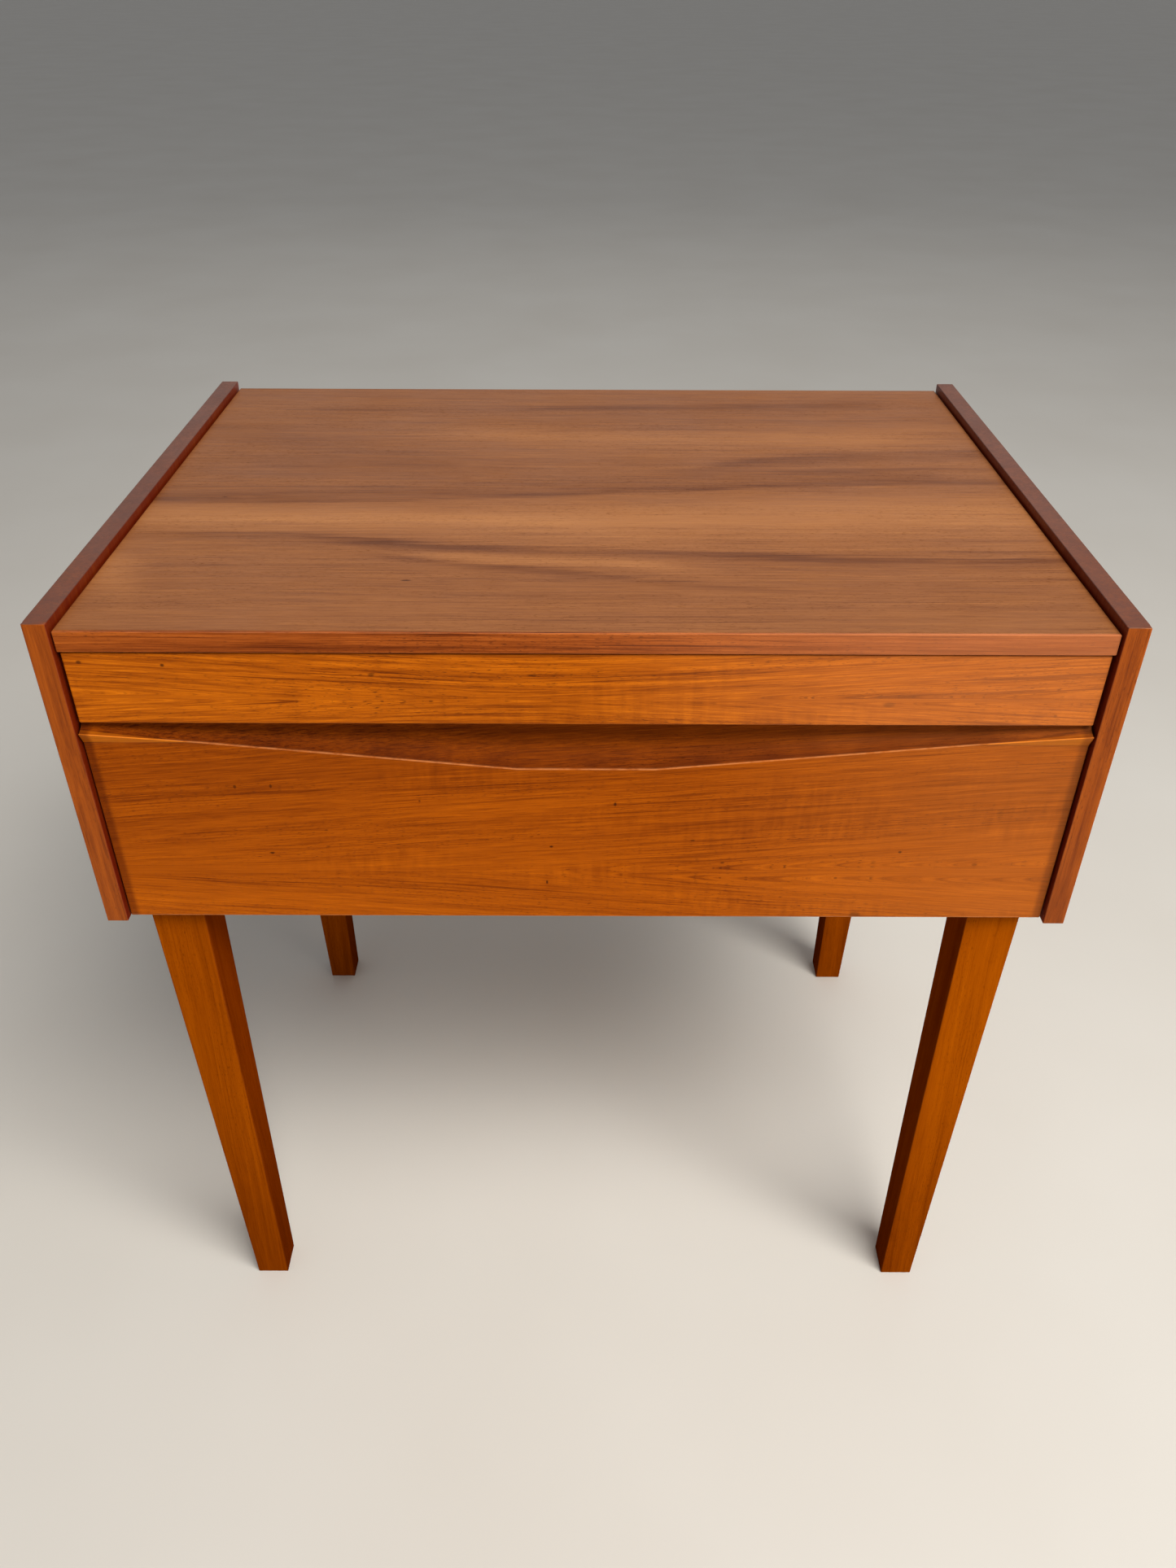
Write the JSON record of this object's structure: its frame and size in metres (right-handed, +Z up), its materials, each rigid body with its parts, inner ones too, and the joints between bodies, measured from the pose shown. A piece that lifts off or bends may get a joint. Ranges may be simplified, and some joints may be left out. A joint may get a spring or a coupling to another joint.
{
  "type": "sewing table",
  "caption": "Low teak sewing table with a recessed top between tall sides, a shallow tray drawer over a deep drawer with a dipped finger pull, on tapered square legs.",
  "frame": {"origin": "centre of the rectangle that the table covers, at floor level", "axes": "+X to the right as seen from the front, +Y from the drawer fronts to the back, +Z up"},
  "size_m": [0.6, 0.43, 0.6],
  "materials": {
    "top_veneer": "satin lacquered teak veneer",
    "lipping": "satin lacquered teak strip",
    "front_wood": "satin lacquered teak",
    "case_wood": "satin lacquered teak",
    "leg_wood": "satin lacquered hardwood",
    "drawer_wood": "oiled beech",
    "plywood": "plain birch plywood",
    "steel": "zinc plated"
  },
  "bodies": {
    "frame": {"back_panel": "plywood", "back_screw_base_left": "steel", "back_screw_base_right": "steel", "back_screw_top_left": "steel", "back_screw_top_right": "steel", "base_board": "plywood", "left_side_panel": "case_wood", "leg_back_left": "leg_wood", "leg_back_right": "leg_wood", "leg_dowel_back_left": "drawer_wood", "leg_dowel_back_right": "drawer_wood", "leg_dowel_front_left": "drawer_wood", "leg_dowel_front_right": "drawer_wood", "leg_front_left": "leg_wood", "leg_front_right": "leg_wood", "leg_screw_back_left": "steel", "leg_screw_back_right": "steel", "leg_screw_front_left": "steel", "leg_screw_front_right": "steel", "lower_runner_left": "drawer_wood", "lower_runner_right": "drawer_wood", "rear_rail": "drawer_wood", "right_side_panel": "case_wood", "top_board": "top_veneer", "top_cleat_left": "drawer_wood", "top_cleat_right": "drawer_wood", "top_front_lipping": "lipping", "top_screw_left_1": "steel", "top_screw_left_2": "steel", "top_screw_right_1": "steel", "top_screw_right_2": "steel", "upper_runner_left": "drawer_wood", "upper_runner_right": "drawer_wood"},
    "upper_drawer": {"thread_peg_1": "drawer_wood", "thread_peg_2": "drawer_wood", "thread_peg_3": "drawer_wood", "thread_peg_4": "drawer_wood", "thread_peg_5": "drawer_wood", "thread_peg_6": "drawer_wood", "thread_peg_board": "drawer_wood", "tray_divider_front_left": "drawer_wood", "tray_divider_front_right": "drawer_wood", "tray_divider_long": "drawer_wood", "tray_divider_rear_left": "drawer_wood", "tray_divider_rear_right": "drawer_wood", "upper_drawer_back": "drawer_wood", "upper_drawer_bottom": "plywood", "upper_drawer_front": "front_wood", "upper_drawer_side_left": "drawer_wood", "upper_drawer_side_right": "drawer_wood"},
    "lower_drawer": {"lower_drawer_back": "drawer_wood", "lower_drawer_bottom": "plywood", "lower_drawer_front": "front_wood", "lower_drawer_side_left": "drawer_wood", "lower_drawer_side_right": "drawer_wood"}
  },
  "joints": [
    {"name": "upper_drawer_slide", "type": "slide", "parent": "frame", "child": "upper_drawer", "axis": [0, -1, 0], "range_m": [0, 0.3]},
    {"name": "lower_drawer_slide", "type": "slide", "parent": "frame", "child": "lower_drawer", "axis": [0, -1, 0], "range_m": [0, 0.3]}
  ]
}
